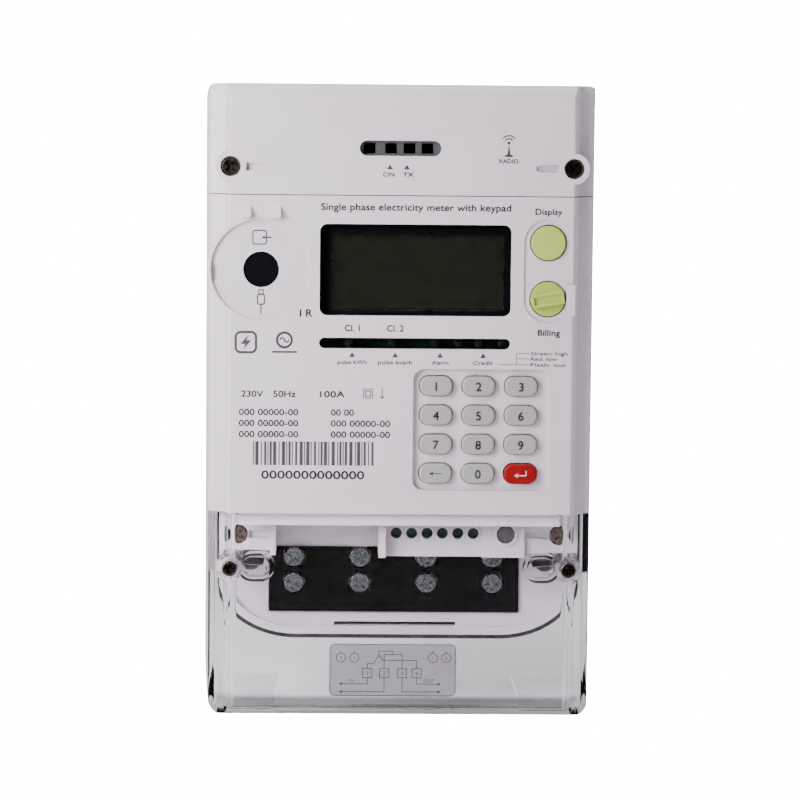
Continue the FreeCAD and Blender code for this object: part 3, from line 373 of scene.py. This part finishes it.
def make_materials():
    made = {
        "housing": moulded("housing", HOUSING, wear=0.25),
        "base_housing": moulded("base_housing", (0.64, 0.585, 0.64), (0.5, 0.62), 1900, 0.016),
        "key_grey": moulded("key_grey", (0.36, 0.34, 0.35), (0.36, 0.48), 2800, 0.008, wear=0.3),
        "key_red": moulded("key_red", (0.27, 0.0, 0.004), (0.34, 0.46), 2800, 0.008, gloss=0.25),
        "green_plastic": moulded("green_plastic", (0.42, 0.53, 0.10), (0.34, 0.46), 2600, 0.008, 0.04, 0.3),
        "black_plastic": moulded("black_plastic", (0.005, 0.005, 0.006), (0.26, 0.34), 1700, 0.006,
                                 gloss=0.2),
        "grey_plastic": moulded("grey_plastic", (0.07, 0.07, 0.075), (0.4, 0.55)),
        "block_black": moulded("block_black", (0.001, 0.001, 0.0016), (0.3, 0.4), 1700, 0.006, gloss=0.05),
        "connector_green": moulded("connector_green", (0.012, 0.07, 0.035), (0.3, 0.4), gloss=0.25),
        "seal_rubber": moulded("seal_rubber", (0.016, 0.016, 0.018), (0.6, 0.75), 1200, 0.03),
        "silicone": moulded("silicone", (0.45, 0.44, 0.45), (0.55, 0.7), 1500, 0.02),
        "epoxy_blue": moulded("epoxy_blue", (0.03, 0.09, 0.30), (0.25, 0.4)),
        "capacitor_sleeve": moulded("capacitor_sleeve", (0.02, 0.025, 0.04), (0.3, 0.42)),
        "battery_sleeve": moulded("battery_sleeve", (0.10, 0.30, 0.12), (0.3, 0.42)),
        "light_guide": moulded("light_guide", (0.80, 0.82, 0.78), (0.3, 0.4)),
        "clear_plastic": clear("clear_plastic", (0.93, 0.915, 0.945), ior=1.18, foot=-97.6),
        "display_plastic": clear("display_plastic", (0.93, 0.93, 0.92), (0.03, 0.07)),
        "dark_lens": clear("dark_lens", (0.16, 0.16, 0.18), (0.08, 0.16)),
        "optical_black": moulded("optical_black", (0.004, 0.004, 0.006), (0.06, 0.12), 900, 0.003),
        "lcd_glass": moulded("lcd_glass", (0.0040, 0.0044, 0.0020), (0.08, 0.12), 3000, 0.001, 0.12,
                             gloss=0.1),
        "led_resin": lit("led_resin", (0.12, 0.16, 0.12), 0.02),
        "steel": metal("steel", (0.125, 0.127, 0.138), (0.2, 0.34)),
        "dark_screw": metal("dark_screw", (0.13, 0.10, 0.085), (0.22, 0.36)),
        "green_screw": metal("green_screw", (0.02, 0.035, 0.028), (0.25, 0.4)),
        "brass": metal("brass", (0.78, 0.58, 0.28), (0.25, 0.4)),
        "copper": metal("copper", (0.80, 0.40, 0.24), (0.3, 0.45), (1, 1, 0.1)),
        "zinc_plate": metal("zinc_plate", (0.62, 0.62, 0.60), (0.35, 0.5)),
        "core_steel": metal("core_steel", (0.22, 0.21, 0.21), (0.4, 0.6), (1, 12, 1)),
        "winding": wound("winding", (0.50, 0.17, 0.06), 0.5, "Y"),
        "board_green": circuit_board("board_green", (0.015, 0.13, 0.05)),
        "label_film": printed_film("label_film", (0.58, 0.56, 0.61)),
        "ink": moulded("ink", (0.055, 0.05, 0.06), (0.5, 0.65), 3000, 0.003, 0.15),
        "key_ink": moulded("key_ink", (0.07, 0.065, 0.07), (0.5, 0.65), 3000, 0.003, 0.15),
        "pale_ink": moulded("pale_ink", (0.80, 0.79, 0.82), (0.5, 0.65), 3000, 0.003, 0.05),
    }
    return made


SPECIAL = {
    "base_case": "base_housing",
    "display_window": "display_plastic",
    "optical_window": "optical_black",
    "aux_screws": "green_screw",
    "terminal_block": "block_black",
}


def dress_nodes(materials):
    """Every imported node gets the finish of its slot, or its own where one slot has two looks."""
    slots = {row["node"]: row["material_slot"] for row in frame["record"]["subparts"]}
    for name, node in NODES.items():
        finish = SPECIAL.get(name, slots[name])
        node.data.materials.clear()
        node.data.materials.append(materials[finish])
    for name in ("terminal_cover", "display_window", "led_lens"):
        NODES[name].visible_shadow = False


# ---------------------------------------------------------------- flat printed shapes

# A shape is (corners, faces) in millimetres, in the plane of the front; depth is added by piece().


def polygon(points):
    return [(x, z) for x, z in points], [tuple(range(len(points)))]


def bar(x0, z0, x1, z1, width):
    """Straight line with square ends."""
    along = Vector((x1 - x0, z1 - z0)).normalized() * width / 2
    across = Vector((-along.y, along.x))
    start = Vector((x0, z0))
    end = Vector((x1, z1))
    corners = [start + across, start - across, end - across, end + across]
    return polygon([(c.x, c.y) for c in corners])


def path(points, width):
    """Bent line of bars, each a little longer than its run so that the corners close."""
    shapes = []
    for (x0, z0), (x1, z1) in zip(points, points[1:]):
        along = Vector((x1 - x0, z1 - z0)).normalized() * width / 2
        shapes.append(bar(x0 - along.x, z0 - along.y, x1 + along.x, z1 + along.y, width))
    return shapes


def arc(x, z, radius, start, stop, width, steps=24):
    """Part of a ring, from start to stop in degrees."""
    corners = []
    for i in range(steps + 1):
        angle = math.radians(start + (stop - start) * i / steps)
        for r in (radius - width / 2, radius + width / 2):
            corners.append((x + r * math.cos(angle), z + r * math.sin(angle)))
    faces = [(2 * i, 2 * i + 1, 2 * i + 3, 2 * i + 2) for i in range(steps)]
    return corners, faces


def ring(x, z, radius, width):
    return arc(x, z, radius, 0, 360, width, 36)


def disc(x, z, radius, steps=20):
    return polygon([(x + radius * math.cos(math.tau * i / steps), z + radius * math.sin(math.tau * i / steps))
                    for i in range(steps)])


def frame_line(x, z, width, height, line):
    """Outline of a rectangle."""
    a, b = width / 2, height / 2
    return path([(x - a, z - b), (x + a, z - b), (x + a, z + b), (x - a, z + b), (x - a, z - b)], line)


def rounded_frame(x, z, width, height, radius, line):
    """Outline of a rectangle with round corners."""
    a, b = width / 2 - radius, height / 2 - radius
    low, high = z - b - radius, z + b + radius
    left, right = x - a - radius, x + a + radius
    shapes = [bar(x - a, low, x + a, low, line), bar(x - a, high, x + a, high, line),
              bar(left, z - b, left, z + b, line), bar(right, z - b, right, z + b, line)]
    for sx, sz, start in ((1, 1, 0), (-1, 1, 90), (-1, -1, 180), (1, -1, 270)):
        shapes.append(arc(x + sx * a, z + sz * b, radius, start, start + 90, line, 8))
    return shapes


def triangle(x, z, size):
    return polygon([(x - size, z - size * 0.8), (x + size, z - size * 0.8), (x, z + size * 0.8)])


def words(text, x, z, height, width=None):
    """Text in the built-in font, centred, with capitals of that height, stretched to width if given."""
    curve = bpy.data.curves.new("words", "FONT")
    curve.body = text
    curve.size = 1.0
    curve.resolution_u = 4
    holder = bpy.data.objects.new("words", curve)
    bpy.context.scene.collection.objects.link(holder)
    bpy.context.view_layer.update()
    mesh = bpy.data.meshes.new_from_object(holder.evaluated_get(bpy.context.evaluated_depsgraph_get()))
    bpy.data.objects.remove(holder)
    bpy.data.curves.remove(curve)
    xs = [v.co.x for v in mesh.vertices]
    capital = 0.73              # height of a capital in the built-in font at size 1
    tall = height / capital
    wide = width / (max(xs) - min(xs)) if width else tall
    middle = (max(xs) + min(xs)) / 2
    corners = [(x + (v.co.x - middle) * wide, z + (v.co.y - capital / 2) * tall) for v in mesh.vertices]
    faces = [tuple(p.vertices) for p in mesh.polygons]
    bpy.data.meshes.remove(mesh)
    return corners, faces


def heavy(text, x, z, height, width=None):
    """The same text struck three times, a stroke's half apart, for bolder letters."""
    step = height * 0.035
    strikes = ((-1, -1), (1, -1), (0, 1))
    return [words(text, x + dx * step, z + dz * step, height, width) for dx, dz in strikes]


def piece(name, shapes, depth, material, body, thickness=INK):
    """One object from flat shapes, printed on a surface at that depth, with a real thickness."""
    built = bmesh.new()
    for corners, faces in shapes:
        points = [built.verts.new(Vector((x, depth, z)) * MM) for x, z in corners]
        for face in faces:
            built.faces.new([points[i] for i in face])
    bmesh.ops.recalc_face_normals(built, faces=built.faces)
    for face in built.faces:
        if face.normal.y < 0:
            face.normal_flip()
    lifted = bmesh.ops.extrude_face_region(built, geom=built.faces[:])
    for item in lifted["geom"]:
        if isinstance(item, bmesh.types.BMVert):
            item.co.y -= thickness * MM
    bmesh.ops.recalc_face_normals(built, faces=built.faces)
    mesh = bpy.data.meshes.new(name)
    built.to_mesh(mesh)
    built.free()
    mesh.materials.append(material)
    made = bpy.data.objects.new(name, mesh)
    bpy.context.scene.collection.objects.link(made)
    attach(made, body)
    return made


# ---------------------------------------------------------------- printed marks of the front


def print_captions(ink):
    """Title over the display and the short words beside the controls, all generic."""
    shapes = heavy("Single phase electricity meter with keypad", 4.5, 63.9, 2.3, 61.5)
    shapes += heavy("Display", BUTTON.x, 62.8, 2.0, 8.6)
    shapes += heavy("Billing", BUTTON.x + 0.5, 23.5, 2.0, 7.2)
    piece("print_captions", shapes, FACE_Y, ink, "meter")


def print_lamp_marks(ink):
    """Arrow heads and words under the lamp strip, and the key to the lamp's colours."""
    shapes = []
    low = 15.9
    captions = ((-15.9, "pulse kWh", 9.4), (-1.9, "pulse kvarh", 11.0),
                (12.7, "Alarm", 5.4), (26.7, "Credit", 6.4))
    for x, word, width in captions:
        shapes.append(triangle(x, low, 1.0))
        shapes += heavy(word, x, low - 2.4, 1.3, width)
    shapes += heavy("Cl. 1", -15.9, 24.6, 2.1)
    shapes += heavy("Cl. 2", -1.9, 24.6, 2.1)
    left, right = 37.6, 41.6
    shapes += path([(right, 16.7), (left, 16.7), (left, 13.0), (right, 13.0)], 0.2)
    shapes += path([(left, 14.9), (right, 14.9)], 0.2)
    shapes += path([(31.6, 13.0), (left, 13.0)], 0.2)
    for z, word, width in ((16.7, "Green: high", 12.0), (14.9, "Red: low", 8.5), (13.0, "Flash: out", 11.5)):
        shapes += heavy(word, right + 0.6 + width / 2, z, 1.1, width)
    piece("print_lamp_marks", shapes, FACE_Y, ink, "meter")


def print_port_marks(ink):
    """Card and plug signs in the reading head's seat, and IR beside it."""
    seat = FACE_Y + 1.0
    x, z = PORT.x, 53.7
    shapes = rounded_frame(x - 0.5, z, 4.4, 4.4, 0.7, 0.42)
    shapes += path([(x + 0.6, z), (x + 3.2, z)], 0.42)
    shapes.append(polygon([(x + 0.2, z), (x + 1.1, z + 0.6), (x + 1.1, z - 0.6)]))
    z = 33.6
    shapes += rounded_frame(x, z, 2.3, 3.2, 0.6, 0.42)
    shapes += frame_line(x, z + 2.4, 1.4, 1.4, 0.38)
    shapes += path([(x, z - 1.7), (x, z - 4.6)], 0.42)
    piece("print_port_signs", shapes, seat, ink, "meter")
    piece("print_port_word", heavy("I R", -30.9, 29.4, 2.5, 4.0), FACE_Y, ink, "meter")


def print_ratings(ink):
    """Generic bolt and wave signs, plain ratings, and lines of zeros for the standards' numbers."""
    x, z = -50.4, 19.7
    shapes = rounded_frame(x, z, 6.6, 6.6, 1.6, 0.8)
    shapes.append(polygon([(x + 0.9, z + 2.5), (x - 1.8, z - 0.6), (x - 0.2, z - 0.6), (x - 0.9, z - 2.5),
                           (x + 1.8, z + 0.6), (x + 0.2, z + 0.6)]))
    x = -37.9
    shapes.append(ring(x, z + 0.8, 2.4, 0.8))
    shapes += [arc(x - 0.7, z + 0.8, 0.7, 0, 180, 0.5, 10), arc(x + 0.7, z + 0.8, 0.7, 180, 360, 0.5, 10)]
    shapes += path([(x - 3.8, z - 3.1), (x + 3.8, z - 3.1)], 0.6)
    for text, x, width in (("230V", -48.3, 7.0), ("50Hz", -37.8, 7.2), ("100A", -22.2, 8.0)):
        shapes += heavy(text, x, 3.0, 2.1, width)
    shapes += frame_line(-10.6, 3.2, 2.9, 2.9, 0.28)
    shapes += frame_line(-10.6, 3.2, 1.6, 1.6, 0.28)
    shapes += path([(-6.0, 4.9), (-6.0, 1.6)], 0.28)
    shapes += path([(-6.6, 2.4), (-6.0, 1.6), (-5.4, 2.4)], 0.28)
    for row, right in enumerate(("00 00", "000 00000-00", "000 00000-00")):
        z = -2.95 - 3.6 * row
        shapes += heavy("000 00000-00", -42.9, z, 2.1, 19.2)
        width = 19.2 if len(right) > 6 else 7.4
        shapes += heavy(right, -22.6 + width / 2, z, 2.1, width)
    piece("print_ratings", shapes, FACE_Y, ink, "meter")


BAR_MODULE = 0.36               # narrowest bar of the row of bars
BAR_STEP = 5
BAR_CYCLE = 7


def print_bars(ink):
    """A row of bars from a plain counting rule, with zeros below: it stands for a code and holds none."""
    shapes = []
    x, stop = -47.9, -8.6
    count = 0
    while x < stop:
        painted_shade_mask = BAR_MODULE * (1 + (count * BAR_STEP) % BAR_CYCLE % 3)
        gap = BAR_MODULE * (1 + (count * 3) % BAR_STEP % 2)
        shapes.append(bar(x, -16.5, x + painted_shade_mask, -16.5, 7.9))
        x += painted_shade_mask + gap
        count += 1
    foot, top = -20.4, -12.6
    shapes = [polygon([(p[0][0], foot), (p[2][0], foot), (p[2][0], top), (p[0][0], top)]) for p, _ in shapes]
    shapes += heavy("0000000000000", -28.4, -23.4, 2.7, 33.4)
    piece("print_bars", shapes, FACE_Y, ink, "meter")


def print_module_marks(ink):
    """Two arrow heads under the module's lamps and an aerial sign."""
    shapes = [triangle(-4.1, 76.8, 1.0), triangle(1.4, 76.8, 1.0)]
    shapes += heavy("ON", -4.5, 74.4, 1.4, 3.6)
    shapes += heavy("TX", 1.8, 74.4, 1.4, 3.4)
    x, z = 34.3, 82.6
    shapes.append(polygon([(x - 1.7, z - 1.9), (x - 0.5, z - 1.5), (x, z + 1.9), (x + 0.5, z - 1.5),
                           (x + 1.7, z - 1.9), (x + 0.9, z - 2.3), (x - 0.9, z - 2.3)]))
    shapes.append(disc(x, z + 2.2, 0.5, 14))
    for radius in (1.4, 2.4):
        shapes.append(arc(x, z + 2.2, radius, 35, 145, 0.4, 12))
    shapes += heavy("RADIO", x, 79.0, 1.4, 6.2)
    piece("print_module_marks", shapes, FACE_Y, ink, "module")


def print_keys(ink, pale):
    """Digits and arrows on the keys."""
    for name in NODES:
        if not name.startswith("key_") or name == "keypad_mat":
            continue
        mark = name[4:]
        centre = node_centre(name)
        x, z = centre.x, centre.z
        if mark == "back":
            shapes = path([(x - 1.6, z), (x + 2.0, z)], 0.3)
            shapes.append(polygon([(x - 2.0, z), (x - 0.8, z + 0.75), (x - 0.8, z - 0.75)]))
        elif mark == "enter":
            shapes = path([(x - 1.4, z - 0.5), (x + 1.9, z - 0.5), (x + 1.9, z + 0.9)], 0.3)
            shapes.append(polygon([(x - 2.0, z - 0.5), (x - 0.8, z + 0.2), (x - 0.8, z - 1.2)]))
        else:
            shapes = heavy(mark, x, z, 2.9)
        piece("print_key_" + mark, shapes, centre_front(name), pale if mark == "enter" else ink, name)


def centre_front(name):
    return node_box(name)[0].y


def print_wiring(ink):
    """Plain wiring diagram on the label: four numbered terminals, a contact and the outgoing lines."""
    cx = (LABEL_LOW.x + LABEL_HIGH.x) / 2
    cz = (LABEL_LOW.z + LABEL_HIGH.z) / 2
    line = 0.24
    shapes = rounded_frame(0, 0, 41.2, 17.0, 1.4, 0.22)
    terminals = (-8.3, -2.8, 3.1, 7.9)
    for i, x in enumerate(terminals):
        shapes += frame_line(x, -1.0, 3.0, 3.0, line)
        shapes.append(words(str(i + 1), x, -1.0, 1.4))
    for x, mark in ((-17.0, "5"), (-12.6, "6"), (13.2, "7"), (17.6, "8")):
        shapes.append(ring(x, 4.1, 1.5, line))
        shapes.append(words(mark, x, 4.1, 1.0))
        shapes += path([(x, 5.6), (x, 6.4)], line)
    first, second, third, fourth = terminals
    shapes += path([(first, 0.5), (first, 2.2), (-6.2, 2.2), (-5.0, 4.2)], line)
    shapes.append(ring(-4.5, 4.7, 0.45, line))
    shapes += path([(-4.5, 5.1), (-4.5, 6.3), (0.1, 6.3), (0.1, 5.2)], line)
    shapes += path([(second, 0.5), (second, 5.2), (third, 5.2), (third, 0.5)], line)
    shapes += path([(-3.9, 4.4), (-3.4, 3.2), (fourth, 3.2), (fourth, 0.5)], line)
    for x, z, way in ((first, -4.6, -1), (second, -7.2, -1), (third, -7.2, 1), (fourth, -4.6, 1)):
        stop = 16.0 * way - 0.9
        shapes += path([(x, -2.5), (x, z), (stop, z)], line)
        back = stop - way * 0.3
        shapes.append(polygon([(stop + way * 0.9, z), (back, z + 0.45), (back, z - 0.45)]))
    shapes.append(words("IN", -13.4, -3.5, 1.2))
    shapes.append(words("OUT", 12.0, -3.5, 1.2))
    moved = [([(x + cx, z + cz) for x, z in corners], faces) for corners, faces in shapes]
    piece("print_wiring", moved, LABEL_LOW.y, ink, "cover", 0.02)


# ---------------------------------------------------------------- all together


def main():
    materials = make_materials()
    dress_nodes(materials)
    ink = materials["ink"]
    print_captions(ink)
    print_lamp_marks(ink)
    print_port_marks(ink)
    print_ratings(ink)
    print_bars(ink)
    print_module_marks(ink)
    print_keys(materials["key_ink"], materials["pale_ink"])
    print_wiring(ink)
    make_world()
    make_lights()
    make_stage()
    make_camera()


main()
